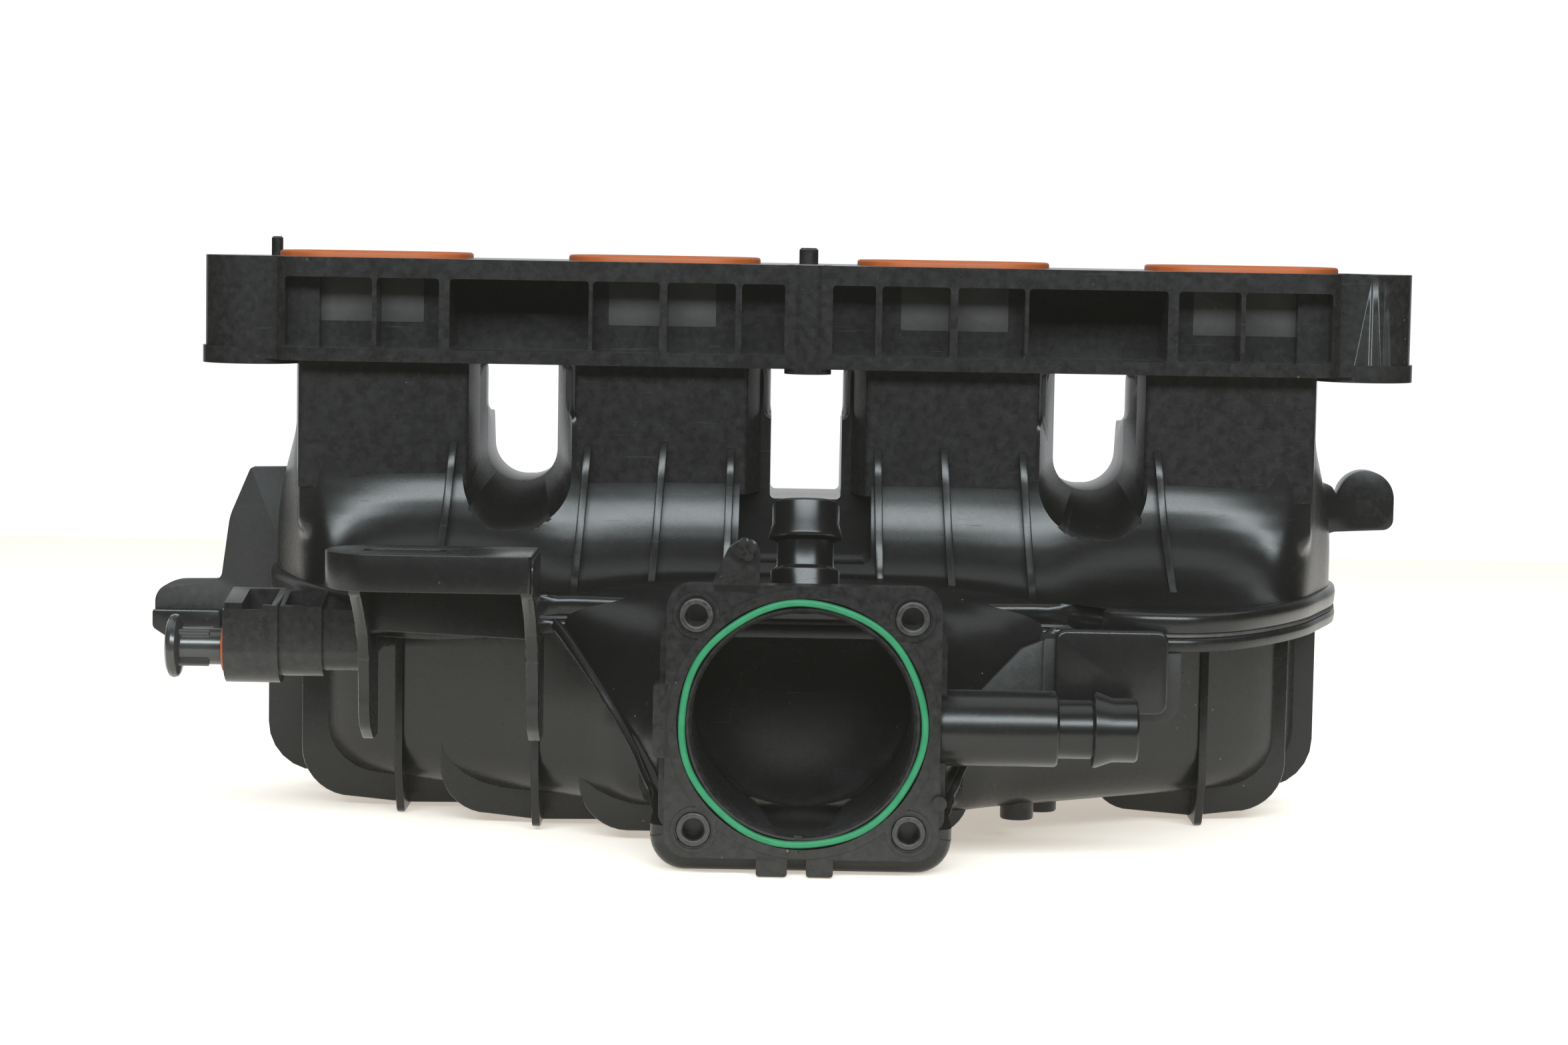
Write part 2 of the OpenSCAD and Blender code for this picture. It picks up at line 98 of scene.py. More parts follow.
world = bpy.data.worlds.new("room")
bpy.context.scene.world = world
world.use_nodes = True
room = world.node_tree
room.nodes.clear()
direction = room.nodes.new("ShaderNodeSeparateXYZ")
room.links.new(room.nodes.new("ShaderNodeTexCoord").outputs["Generated"], direction.inputs[0])
depth = room.nodes.new("ShaderNodeMapRange")
depth.interpolation_type = "SMOOTHSTEP"
for key, number in (("From Min", 0.72), ("From Max", 0.985), ("To Min", 0.02), ("To Max", 1.0)):
    depth.inputs[key].default_value = number
room.links.new(direction.outputs["Y"], depth.inputs["Value"])
unseen = room.nodes.new("ShaderNodeBackground")
unseen.inputs["Color"].default_value = (0.96, 0.98, 1.0, 1.0)
room.links.new(depth.outputs["Result"], unseen.inputs["Strength"])
seen = room.nodes.new("ShaderNodeBackground")
seen.inputs["Strength"].default_value = 1.05
path = room.nodes.new("ShaderNodeLightPath")
seen.inputs["Color"].default_value = (1.0, 1.0, 1.0, 1.0)
choose = room.nodes.new("ShaderNodeMixShader")
room_out = room.nodes.new("ShaderNodeOutputWorld")
room.links.new(path.outputs["Is Camera Ray"], choose.inputs[0])
room.links.new(unseen.outputs[0], choose.inputs[1])
room.links.new(seen.outputs[0], choose.inputs[2])
room.links.new(choose.outputs[0], room_out.inputs[0])

# The bright background veils the lens a little, which lifts the blacks
VEIL = 0.009
view = bpy.context.scene.view_settings
view.view_transform = "Standard"
view.use_curve_mapping = True
view.curve_mapping.black_level = (-VEIL, -VEIL, -VEIL * 0.85)
view.curve_mapping.update()

TABLE_HALF = (0.65, 0.6)
TABLE_MIDDLE = 0.303
table = bmesh.new()
bmesh.ops.create_grid(table, x_segments=1, y_segments=1, size=1.0)
bmesh.ops.scale(table, verts=table.verts, vec=(*TABLE_HALF, 1.0))
bmesh.ops.translate(table, verts=table.verts, vec=(0, TABLE_MIDDLE, FLOOR_Z - 0.0002))
table_mesh = bpy.data.meshes.new("light_table")
table.to_mesh(table_mesh)
table.free()
light_table = bpy.data.objects.new("light_table", table_mesh)
bpy.context.scene.collection.objects.link(light_table)
milk_glass = bpy.data.materials.new("milk_glass")
milk_glass.use_nodes = True
glow = milk_glass.node_tree.nodes["Principled BSDF"]
glow.inputs["Base Color"].default_value = (0.9, 0.87, 0.82, 1.0)
glow.inputs["Roughness"].default_value = 0.8
glow.inputs["Specular IOR Level"].default_value = 0.1
glow.inputs["Emission Color"].default_value = (1.0, 0.9, 0.78, 1.0)
glow.inputs["Emission Strength"].default_value = 0.5
light_table.data.materials.append(milk_glass)

# ---- Nylon ----
# Every shell is injection moulded from black glass-filled nylon: satin skin, faint flow marks, dust in the gloss,
# handling scratches, and paler wear along its edges. Some faces carry the mould's spark-eroded grain.


def nylon(name, shade, rough, grain, dust=1.0, gloss=0.36):
    """A black nylon skin. grain is the height of its fine texture in metres."""
    material = bpy.data.materials.new(name)
    material.use_nodes = True
    tree = material.node_tree
    shader = tree.nodes["Principled BSDF"]
    link = tree.links.new
    place = tree.nodes.new("ShaderNodeTexCoord").outputs["Object"]

    def noise_at(scale, detail=3.0, roughness=0.6, stretch=None):
        node = tree.nodes.new("ShaderNodeTexNoise")
        node.inputs["Scale"].default_value = scale
        node.inputs["Detail"].default_value = detail
        node.inputs["Roughness"].default_value = roughness
        source = place
        if stretch:
            turn = tree.nodes.new("ShaderNodeMapping")
            turn.inputs["Scale"].default_value = stretch
            link(place, turn.inputs["Vector"])
            source = turn.outputs["Vector"]
        link(source, node.inputs["Vector"])
        return node.outputs["Fac"]

    def spread(value, low, high, to_low, to_high):
        node = tree.nodes.new("ShaderNodeMapRange")
        for key, number in (("From Min", low), ("From Max", high), ("To Min", to_low), ("To Max", to_high)):
            node.inputs[key].default_value = number
        link(value, node.inputs["Value"])
        return node.outputs["Result"]

    def combine(kind, a, b, clamp=False):
        node = tree.nodes.new("ShaderNodeMath")
        node.operation = kind
        node.use_clamp = clamp
        for i, value in enumerate((a, b)):
            if isinstance(value, (int, float)):
                node.inputs[i].default_value = value
            else:
                link(value, node.inputs[i])
        return node.outputs[0]

    def tint(amount, low, high):
        node = tree.nodes.new("ShaderNodeMix")
        node.data_type = "RGBA"
        for key, value in ((6, low), (7, high)):
            if hasattr(value, "links"):
                link(value, node.inputs[key])
            else:
                node.inputs[key].default_value = (*value, 1.0)
        link(amount, node.inputs[0])
        return node.outputs[2]

    flow = noise_at(26.0, 4.0, 0.6, (1.0, 2.2, 0.8))
    mottle = noise_at(420.0)
    fine = noise_at(4800.0, 1.0)
    streaks = noise_at(900.0, 2.0, 0.5, (0.06, 1.0, 1.4))
    specks = tree.nodes.new("ShaderNodeTexVoronoi")
    specks.inputs["Scale"].default_value = 230.0
    link(place, specks.inputs["Vector"])
    speck = spread(specks.outputs["Distance"], 0.05, 0.08, 1.0, 0.0)
    sparse = spread(noise_at(34.0, 2.0), 0.55, 0.66, 0.0, dust)
    dusty = combine("MULTIPLY", speck, sparse, True)
    edge = tree.nodes.new("ShaderNodeNewGeometry").outputs["Pointiness"]
    worn = combine("MULTIPLY", spread(edge, 0.52, 0.60, 0.0, 1.0), spread(mottle, 0.35, 0.7, 0.2, 1.0), True)
    body = tint(spread(flow, 0.35, 0.68, 0.0, 1.0), shade, tuple(1.5 * c for c in shade))
    body = tint(combine("MULTIPLY", worn, 0.3), body, tuple(4.0 * c + 0.03 for c in shade))
    link(tint(combine("MULTIPLY", dusty, 0.6), body, (0.2, 0.19, 0.17)), shader.inputs["Base Color"])
    scratch = spread(streaks, 0.70, 0.75, 0.0, 1.0)
    dull = combine("ADD", spread(mottle, 0.2, 0.8, rough - 0.012, rough + 0.018),
                   combine("MULTIPLY", spread(flow, 0.3, 0.7, 0.0, 1.0), 0.035))
    dull = combine("ADD", dull, combine("MULTIPLY", combine("ADD", dusty, scratch), 0.15), True)
    link(dull, shader.inputs["Roughness"])
    shader.inputs["Specular IOR Level"].default_value = gloss

    bump = tree.nodes.new("ShaderNodeBump")
    bump.inputs["Distance"].default_value = grain
    bump.inputs["Strength"].default_value = 0.6
    link(combine("ADD", fine, combine("MULTIPLY", mottle, 0.25)), bump.inputs["Height"])
    waves = tree.nodes.new("ShaderNodeBump")
    waves.inputs["Distance"].default_value = 0.0002
    waves.inputs["Strength"].default_value = 0.35
    link(noise_at(62.0, 2.0), waves.inputs["Height"])
    link(bump.outputs["Normal"], waves.inputs["Normal"])
    link(waves.outputs["Normal"], shader.inputs["Normal"])
    return material


SKIN = nylon("nylon_satin", (0.0052, 0.0050, 0.0048), 0.25, 0.000022)
GRAINED = nylon("nylon_grained", (0.010, 0.0097, 0.0093), 0.44, 0.00011, 0.5)

# ---- Upper shell: roof, runners and neck ----
# One moulding. Four runners drop from the head flange and flare forward into the plenum's roof, which swells to the
# weld seam; between them are through windows. The neck draws the roof in to the throttle flange.


def solid(bm, name="part"):
    """Turns a bmesh into an object of the scene, with its faces outward."""
    bmesh.ops.recalc_face_normals(bm, faces=bm.faces)
    mesh = bpy.data.meshes.new(name)
    bm.to_mesh(mesh)
    bm.free()
    made = bpy.data.objects.new(name, mesh)
    bpy.context.scene.collection.objects.link(made)
    return made


def rounded(points, axis, start, stop, radius=0.0, steps=6, name="part"):
    """A bar along an axis, in millimetres, whose outline's corners are rounded by one radius or by each its own."""
    bm = bmesh.new()
    along = "XYZ".index(axis)
    spots = []
    for a, b in points:
        spot = [a, b]
        spot.insert(along, start)
        spots.append(bm.verts.new(spot))
    corners = [v.co.copy() for v in spots]
    loop = [bm.edges.new(pair) for pair in zip(spots, spots[1:] + spots[:1])]
    face = bmesh.ops.contextual_create(bm, geom=loop)["faces"][0]
    grown = bmesh.ops.extrude_face_region(bm, geom=[face])["geom"]
    push = Vector((0, 0, 0))
    push[along] = stop - start
    bmesh.ops.translate(bm, verts=[g for g in grown if isinstance(g, bmesh.types.BMVert)], vec=push)
    radii = radius if hasattr(radius, "__len__") else [radius] * len(points)
    for corner, r in zip(corners, radii):
        if r <= 0:
            continue
        long_edges = [e for e in bm.edges if abs((e.verts[0].co - e.verts[1].co)[along]) > 0.9 * abs(stop - start)
                      and min((v.co - corner).length for v in e.verts) < 1e-3]
        bmesh.ops.bevel(bm, geom=long_edges, offset=r, segments=steps, profile=0.5, affect="EDGES", material=-1,
                        clamp_overlap=True)
    return solid(bm, name)


def block(low, high, radius=0.0, name="part"):
    """A block between two corners; its upright edges are rounded."""
    return rounded([(low[0], low[1]), (high[0], low[1]), (high[0], high[1]), (low[0], high[1])], "Z",
                   low[2], high[2], radius, name=name)


def front_plate(low, high, y0, y1, radius=0.0, name="part"):
    """A plate that faces the front: low and high are X and Z, and its corners are rounded."""
    return rounded([low, (high[0], low[1]), high, (low[0], high[1])], "Y", y0, y1, radius, name=name)


def loft(rings, name="part"):
    """A closed skin over rings of points that follow each other, capped at both ends."""
    bm = bmesh.new()
    loops = []
    for ring in rings:
        spots = [bm.verts.new(p) for p in ring]
        loops.append([bm.edges.new(pair) for pair in zip(spots, spots[1:] + spots[:1])])
    for low, high in zip(loops, loops[1:]):
        bmesh.ops.bridge_loops(bm, edges=low + high)
    bmesh.ops.contextual_create(bm, geom=loops[0])
    bmesh.ops.contextual_create(bm, geom=loops[-1])
    return solid(bm, name)


def lathe(profile, place=(0, 0, 0), turn=None, steps=64, name="part"):
    """A turned shape: profile is (radius, height) from its foot on the axis to its top on the axis."""
    bm = bmesh.new()
    spots = [bm.verts.new((r, 0, h)) for r, h in profile]
    edges = [bm.edges.new(pair) for pair in zip(spots, spots[1:])]
    bmesh.ops.spin(bm, geom=spots + edges, cent=(0, 0, 0), axis=(0, 0, 1), angle=2 * math.pi, steps=steps,
                   use_merge=True)
    bmesh.ops.remove_doubles(bm, verts=bm.verts, dist=1e-4)
    if turn:
        bmesh.ops.transform(bm, matrix=turn, verts=bm.verts)
    bmesh.ops.translate(bm, verts=bm.verts, vec=place)
    return solid(bm, name)


ALONG_X = Matrix.Rotation(math.pi / 2, 4, "Y")
TOWARDS_FRONT = Matrix.Rotation(math.pi / 2, 4, "X")


def rod(axis, place, length, radius, steps=48):
    """A plain bar from a place along +X, -Y or +Z."""
    turn = {"X": ALONG_X, "Y": TOWARDS_FRONT, "Z": None}[axis]
    return lathe([(0, 0), (radius, 0), (radius, length), (0, length)], place, turn, steps)


def settle(piece):
    """Makes what the piece's modifiers show its own mesh."""
    graph = bpy.context.evaluated_depsgraph_get()
    mesh = bpy.data.meshes.new_from_object(piece.evaluated_get(graph))
    piece.modifiers.clear()
    old = piece.data
    piece.data = mesh
    bpy.data.meshes.remove(old)
    return piece


def drop(*objects):
    """Takes helper solids out of the scene."""
    for o in objects:
        mesh = o.data
        bpy.data.objects.remove(o)
        bpy.data.meshes.remove(mesh)


def combine_solids(piece, others, operation):
    """Joins the others to the piece or cuts them from it, and drops them."""
    for other in others:
        modifier = piece.modifiers.new("combine", "BOOLEAN")
        modifier.object = other
        modifier.operation = operation
        modifier.solver = "EXACT"
    settle(piece)
    drop(*others)
    return piece


def add(piece, *others):
    return combine_solids(piece, others, "UNION")


def cut(piece, *others):
    return combine_solids(piece, others, "DIFFERENCE")


def melt(parts, voxel, smoothing, name):
    """Flows overlapping solids into one skin with the soft inside corners of a moulding."""
    bm = bmesh.new()
    for part in parts:
        bm.from_mesh(part.data)
    drop(*parts)
    merged = solid(bm, name)
    flow = merged.modifiers.new("flow", "REMESH")
    flow.mode = "VOXEL"
    flow.voxel_size = voxel
    settle(merged)
    bm = bmesh.new()
    bm.from_mesh(merged.data)
    for _ in range(smoothing):
        bmesh.ops.smooth_vert(bm, verts=bm.verts, factor=0.5, use_axis_x=True, use_axis_y=True, use_axis_z=True)
    bm.to_mesh(merged.data)
    bm.free()
    return merged


def finish(piece, name, material, round_edges=0.0, crease=32.0, body="manifold", segments=2):
    """Rounds the edges, brings the piece from millimetres to the frame's metres and puts it on its body."""
    if round_edges:
        bevel = piece.modifiers.new("edges", "BEVEL")
        bevel.width = round_edges
        bevel.segments = segments
        bevel.limit_method = "ANGLE"
        bevel.angle_limit = math.radians(35)
        bevel.use_clamp_overlap = True
        bevel.miter_outer = "MITER_ARC"
        settle(piece)
    piece.data.transform(Matrix.Scale(MM, 4))
    piece.data.polygons.foreach_set("use_smooth", [True] * len(piece.data.polygons))
    piece.data.set_sharp_from_angle(angle=math.radians(crease))
    piece.name = name
    piece.data.name = name
    piece.data.materials.clear()
    piece.data.materials.append(material)
    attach(piece, body)
    return piece


SEAM_Z = -100.0
FLARE_TOP = -57.0
FLARE_FOOT = -95.0
GORE_TOP = -45.0
GORE_FOOT = -84.0
RUNNER_FRONT = -22.0
REAR_Y = 35.0
SMOOTH = 6

# Right half of the roof's outline where it leaves the runners, and of the seam straight below each point
ROOF_TOP = [(0, -22), (40, -22), (69, -22), (84, -22), (100, -22), (116, -22), (130, -22), (141, -21), (147, -13),
            (148.5, 6), (148.5, 22)]
SEAM = [(0, -50), (40, -50), (69, -47), (84, -60), (100, -67.5), (116, -62), (130, -46), (142, -25), (150, -4),
        (156.5, 16), (159.5, REAR_Y)]


def curve_through(points, parts):
    """Smooth points through the given ones, parts to each stretch."""
    line = [Vector(p) for p in points]
    line = [2 * line[0] - line[1], *line, 2 * line[-1] - line[-2]]
    found = []
    for i in range(1, len(line) - 2):
        a, b, c, d = line[i - 1:i + 3]
        for k in range(parts):
            t = k / parts
            found.append(0.5 * (2 * b + (c - a) * t + (2 * a - 5 * b + 4 * c - d) * t * t
                                + (3 * b - a - 3 * c + d) * t ** 3))
    return [*found, line[-2]]


def whole_ring(half):
    """Mirrors the right half of an outline and closes it along the back."""
    end_x, end_y = half[-1]
    back = [(end_x * k / 8, end_y) for k in range(7, 0, -1)]
    right = [(p[0], p[1]) for p in half[1:]] + back
    left = [(-x, y) for x, y in reversed(right)]
    return [tuple(half[0]), *right, (0, end_y), *left]


def roof_half(z):
    """Right half of the roof's outline at a height: concave in front, swelling at the sides."""
    down = min(1.0, max(0.0, (FLARE_TOP - z) / (FLARE_TOP - FLARE_FOOT)))
    hollow = 1.0 - math.sqrt(max(0.0, 1.0 - down * down))
    swell = math.sin(min(1.0, max(0.0, (GORE_TOP - z) / (GORE_TOP - GORE_FOOT))) * math.pi / 2)
    half = []
    for i, (top, foot) in enumerate(zip(curve_through(ROOF_TOP, SMOOTH), curve_through(SEAM, SMOOTH))):
        side = min(1.0, max(0.0, (i / SMOOTH - 6.0) / 3.0))
        half.append(top.lerp(foot, hollow + (swell - hollow) * side * side * (3 - 2 * side)))
    return half


roof_levels = [GORE_TOP, -49, -53, FLARE_TOP,
               *[FLARE_TOP + (FLARE_FOOT - FLARE_TOP) * math.sin(math.radians(a)) for a in range(9, 90, 9)],
               FLARE_FOOT, SEAM_Z]
roof = loft([[(x, y, z) for x, y in whole_ring(roof_half(z))] for z in roof_levels], "roof")

# Each runner's section: where its front face starts and ends, and its waist
RUNNERS = [((-145.5, -97.5), (-149.0, -92.4)), ((-66.0, -17.5), (-74.8, -9.2))]
RUNNERS += [((-f[1], -f[0]), (-m[1], -m[0])) for f, m in reversed(RUNNERS)]
tubes = []
for (f0, f1), (m0, m1) in RUNNERS:
    section = [(f0, RUNNER_FRONT), (f1, RUNNER_FRONT), (m1, 0), (f1, -RUNNER_FRONT), (f0, -RUNNER_FRONT), (m0, 0)]
    tubes.append(rounded(section, "Z", -78, -29, [2.2, 2.2, 6, 2.2, 2.2, 6], 4, "runner"))

# The neck's sections from the plenum forward: place, half width, top, and the height of its widest line
NECK = [(-36, 80, -88, -99), (-45, 73, -88, -100), (-53, 63, -87.5, -111), (-62, 53, -87, -124),
        (-71, 45, -86.5, -134), (-80, 39.5, -86.5, -142), (-88, 38, -86.5, -147)]


def neck_ring(y, half, top, widest):
    """An arch from the widest line over the top, closed by a flat underside."""
    ring = []
    for k in range(33):
        a = math.pi * k / 32
        across, up = math.cos(a), math.sin(a)
        ring.append((half * across, y, widest + (top - widest) * up ** 0.85))
    return ring


neck = loft([neck_ring(*row) for row in NECK], "neck")
upper = melt([roof, neck, *tubes], 1.35, 3, "upper_shell")

# Through windows: place, half width behind and in front, and the foot's height behind and in front. Each narrows
# from the flare back to the middle of the runners.
WINDOWS = [(-82.8, 10.2, 16.6, -64.5, -76.0), (82.5, 10.2, 16.6, -64.5, -76.0)]


def window_ring(x, y, half, bottom, turn):
    """A window's outline at a depth: straight sides and a foot with corners of one radius."""
    ring = [(x + half, y, -20), (x - half, y, -20)]
    for k in range(25):
        a = math.radians(180 + 7.5 * k)
        middle = x + half - turn if k > 12 else x - half + turn
        ring.append((middle + turn * math.cos(a), y, bottom + turn + turn * math.sin(a)))
    return ring


# The throttle's axis runs along Y at this height
THROTTLE_Z = -122.3



def duct(x):
    """The air way of one runner, as a solid to cut away."""
    return block((x - 21, -14, -85), (x + 21, 14, -20), 11)


cutters = []
for x, inner, outer, floor_in, floor_out in WINDOWS:
    reach = 68 / 24
    mouth = window_ring(x, -70, inner + (outer - inner) * reach, floor_in + (floor_out - floor_in) * reach, 21)
    cutters.append(loft([window_ring(x, 60, inner, floor_in, 9.5), window_ring(x, -2, inner, floor_in, 9.5), mouth]))
cutters.append(loft([window_ring(0, 60, 10.3, -68, 1.5), window_ring(0, -24, 10.3, -68, 1.5)]))
cutters.append(loft([window_ring(0, -19, 16.5, -66, 1.0), window_ring(0, -90, 21.0, -67, 1.0)]))
cutters.append(loft([window_ring(0, -9, 18.5, -84, 2.5), window_ring(0, -90, 21.0, -86.5, 2.5)]))
cutters.append(rod("Y", (0, -20, THROTTLE_Z), 80, 30))
for (f0, f1), _ in RUNNERS:
    port = math.copysign(42.0 if abs(f0 + f1) < 150 else 126.0, f0)
    cutters.append(duct(port))
cutters.append(block((-138, -4, -102), (138, 32, -80), 8))
cut(upper, *cutters)
finish(upper, "upper_shell", SKIN, crease=50.0)
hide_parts("runner_shell")

# The runners keep their slides' crisp corners above the flare
for i, ((f0, f1), (m0, _)) in enumerate(RUNNERS):
    low, high = sorted(math.copysign(w, m0) for w in ((149.4, 93.2) if i in (0, 3) else (72.8, 10.4)))
    left, right, front = f0 - 0.2, f1 + 0.2, RUNNER_FRONT - 0.4
    section = [(left, front), (right, front), (high, 0), (right, -front), (left, -front), (low, 0)]
    tube = rounded(section, "Z", -66, -28, [1.5, 1.5, 6, 1.5, 1.5, 6], 4)
    cut(tube, duct((f0 + f1) / 2))
    finish(tube, f"runner_{i + 1}", SKIN, crease=50)

# ---- Head flange ----
# A flat sealing plate and a thinner plate below it, held apart by ribs. The ends carry round bolt bosses, and two
# short pegs on top find the head; four port openings go straight through.
PORTS = [-126.0, -42.0, 42.0, 126.0]
# Pockets between the ribs, on each side of the middle: start, end, and how far from the centre line the core stops
POCKETS = [(6.8, 19.0, 17.0), (20.8, 40.2, 17.0), (42.4, 61.4, 17.0), (62.5, 102.0, 4.0), (105.0, 122.7, 17.0),
           (124.0, 149.0, 17.0)]
BOLTS = [(-161.0, -8.0), (-84.0, 14.0), (0.0, -24.5), (84.0, 14.0), (161.0, -8.0)]

FLANGE_FOOT = -29.5
BOSS_FOOT = -31

flange = block((-152, -30, FLANGE_FOOT), (152, 30, 0), 8, "head_flange")
cores = []
for start, end, deep in POCKETS:
    for s in (-1, 1):
        low, high = sorted((s * start, s * end))
        for front in (True, False):
            if deep < 10 and not front:  # the deep pockets over the windows are open in front only
                continue
            y0, y1 = (-40, -deep) if front else (deep, 40)
            cores.append(front_plate((low, -25.8), (high, -5.6), y0, y1, 1.0))
cut(flange, *cores)
extra = []
for s in (-1, 1):
    extra.append(rod("Z", (s * 161, -8, BOSS_FOOT), 31, 13.5))
    low, high = sorted((s * 140, s * 161))
    extra.append(block((low, -21.5, FLANGE_FOOT), (high, 5.5, 0)))
    extra.append(rod("Z", (s * 161, -8, BOSS_FOOT), 5.0, 14.3))
    extra.append(rod("Z", (s * 84, 14, -30), 29, 6.7))
extra.append(rod("Z", (0, -24.5, BOSS_FOOT), 31, 6.7))
extra.append(lathe([(0, -1), (1.7, -1), (1.7, 5.0), (1.2, 5.5), (0, 5.5)], (-156, 6, 0), steps=24))
extra.append(lathe([(0, -1), (2.85, -1), (2.85, 4.1), (2.2, 4.7), (0, 4.7)], (0, 18, 0), steps=32))
add(flange, *extra)
holes = [rod("Z", (x, y, -40), 60, 4.7, 32) for x, y in BOLTS]
for port in PORTS:
    holes.append(block((port - 21.5, -14, -40), (port + 21.5, 14, 10), 12))
    holes.append(block((port - 28.0, -20.5, -3), (port + 28.0, 20.5, 5), 17))
    holes[-1] = cut(holes[-1], block((port - 23.7, -16.2, -4), (port + 23.7, 16.2, 6), 13))
cut(flange, *holes)
finish(flange, "head_flange", SKIN, round_edges=0.45, crease=40)

# A paler, rougher patch on the wall beside each port is painted sheen: the light these walls catch, given to them as
# a lighter material. The weld line below shares this material as its own colour.
PALE_SHEEN_AND_WELD = nylon("nylon_painted_sheen_and_weld", (0.034, 0.0325, 0.0315), 0.55, 0.00006, 0.6, 0.35)
for i, port in enumerate(PORTS):
    painted_sheen_patch = front_plate((port - 15.5, -18.4), (port + 15.5, -5.5), -17.25, -16.4, 0.6)
    finish(painted_sheen_patch, f"painted_sheen_wall_{i + 1}", PALE_SHEEN_AND_WELD, round_edges=0.2)

# ---- Gusset ribs ----
# Thin ribs stand on the flare below the runners and lean a little outward. Each grows out of the wall at its top and
# fades away at its foot: place across at the top and the foot, then the foot's and the top's height.
RIBS = [(-101, -104, -90, -51.5), (-62.5, -65.5, -95, -52.0), (-40.8, -44, -101, -51.0), (-21.5, -22.3, -89, -52.5),
        (20.5, 21.5, -89, -52.0), (39.5, 42.5, -100, -51.5), (62, 65, -95, -52.3), (100.6, 104, -90, -51.2)]


def roof_front(x, z):
    """How far forward the roof stands at a place across it."""
    half = roof_half(z)
    across = abs(x)
    for a, b in zip(half, half[1:]):
        if a.x <= across <= b.x:
            return a.y + (b.y - a.y) * (across - a.x) / max(1e-6, b.x - a.x)
    return half[-1].y


def bar(sections):
    """A closed bar through sections of points, with flat sides between them."""
    bm = bmesh.new()
    rows = [[bm.verts.new(p) for p in section] for section in sections]
    for a, b in zip(rows, rows[1:]):
        for k in range(len(a)):
            after = (k + 1) % len(a)
            bm.faces.new((a[k], a[after], b[after], b[k]))
    bm.faces.new(rows[0])
    bm.faces.new(rows[-1])
    return solid(bm)


STEPS = 14
RIB_HEIGHT = 4.6
for i, (x_top, x_foot, foot, top) in enumerate(RIBS):
    sections = []
    for k in range(STEPS + 1):
        x = x_top + (x_foot - x_top) * k / STEPS
        z = top + (foot - top) * k / STEPS
        proud = RIB_HEIGHT * min(1.0, 0.25 + k / 3) * min(1.0, 0.15 + (STEPS - k) / 4)
        y = roof_front(x, max(z, SEAM_Z + 1)) - proud
        sections.append([(x - 1.25, y + 12, z), (x - 1.15, y, z), (x + 1.15, y, z), (x + 1.25, y + 12, z)])
    finish(bar(sections), f"gusset_rib_{i + 1}", SKIN, round_edges=0.5)

# ---- Seam band ----
# The upper and the lower shell are friction welded: two stacked lips stand out all along the joint, with a fine
# line of melted nylon between them.


def band_ring(offset, z):
    """The seam's outline from the neck round one end to the back, moved outward."""
    line = [Vector((x, y)) for x, y in whole_ring(roof_half(SEAM_Z))]
    ring = []
    for k, here in enumerate(line):
        a, b = line[k - 1], line[(k + 1) % len(line)]
        run = (b - a).normalized()
        outward = Vector((run.y, -run.x))
        if outward.dot(here - Vector((0, 10))) < 0 and abs(here.x) > 60:
            outward = -outward
        ring.append((here.x + outward.x * offset, here.y + outward.y * offset, z))
    return ring


def lip(profile, name):
    return loft([band_ring(offset, z) for offset, z in profile], name)


upper_lip = lip([(0.2, -93.2), (1.1, -93.5), (1.8, -94.3), (2.0, -95.5), (1.7, -98.4), (1.2, -99.2)], "upper_lip")
finish(upper_lip, "weld_lip_upper", SKIN, crease=60)
bead = lip([(0.9, -98.9), (1.6, -99.3), (1.7, -99.9), (0.9, -100.3)], "bead")
finish(bead, "weld_line", PALE_SHEEN_AND_WELD, crease=60)
lower_lip = lip([(1.0, -100.1), (1.8, -100.5), (2.0, -101.8), (1.7, -103.8), (0.4, -104.2)], "lower_lip")
finish(lower_lip, "weld_lip_lower", SKIN, crease=60)

# ---- Throttle flange ----
# A thick square plate in front of the neck, moulded with the upper shell. Its raised face carries the seal's groove
# and four insert bosses; round its edge are two feet, a tab, a small pin and an ear with a star-shaped pin.
SCREWS = [(side * 29.0, THROTTLE_Z + end * 29.0) for side in (-1, 1) for end in (1, -1)]

PLATE_FRONT = -94.4
PLATE_BACK = -87
PLATEAU = -95.0

plate = front_plate((-37, -159), (37, -85), PLATE_FRONT, PLATE_BACK, 6.5, "throttle_plate")
ear = rounded([(-27.5, -90), (-25, -85), (-19.7, -73), (-12.2, -73), (-12.2, -90)],
              "Y", PLATE_FRONT, -88.5, [0, 0.5, 3.6, 3.6, 0])
add(plate, ear, front_plate((-40.3, -132), (-30, -112), PLATE_FRONT, PLATE_BACK, 1.2),
    front_plate((-12, -163.8), (-3.6, -150), PLATE_FRONT, PLATE_BACK, 0.9),
    front_plate((1.5, -163.8), (8.8, -150), PLATE_FRONT, PLATE_BACK, 0.9),
    rod("Y", (37, -92, -142.9), 4.6, 2.0, 24))
ring = [(36.4 * math.cos(a), THROTTLE_Z + 36.4 * math.sin(a)) for a in (2 * math.pi * k / 96 for k in range(96))]
plateau = rounded(ring, "Y", PLATEAU, -94, name="plateau")
add(plateau, *[rod("Y", (x, -94, z), 1.0, 6.2, 32) for x, z in SCREWS])
fillets = []
for x, z in SCREWS:
    s, t = math.copysign(1, x), math.copysign(1, z - THROTTLE_Z)
    fillets.append(rounded([(x - 6.0 * s, z + 0.5 * t), (x - 1.0 * s, z - 6.2 * t), (x - 9 * s, z - 12 * t),
                            (x - 12 * s, z - 9 * t)], "Y", PLATEAU, -94))
add(plateau, *fillets)
add(plate, plateau)
star = [rod("Y", (-16 + 1.5 * math.cos(a), -90, -75.4 + 1.5 * math.sin(a)), 7.2, 1.5, 20)
        for a in (math.pi * k / 2 + 0.4 for k in range(4))]
add(plate, *star)
groove = lathe([(31.4, -1), (31.4, 4), (34.0, 4), (34.0, -1), (31.4, -1)], (0, -92, THROTTLE_Z), TOWARDS_FRONT, 96)
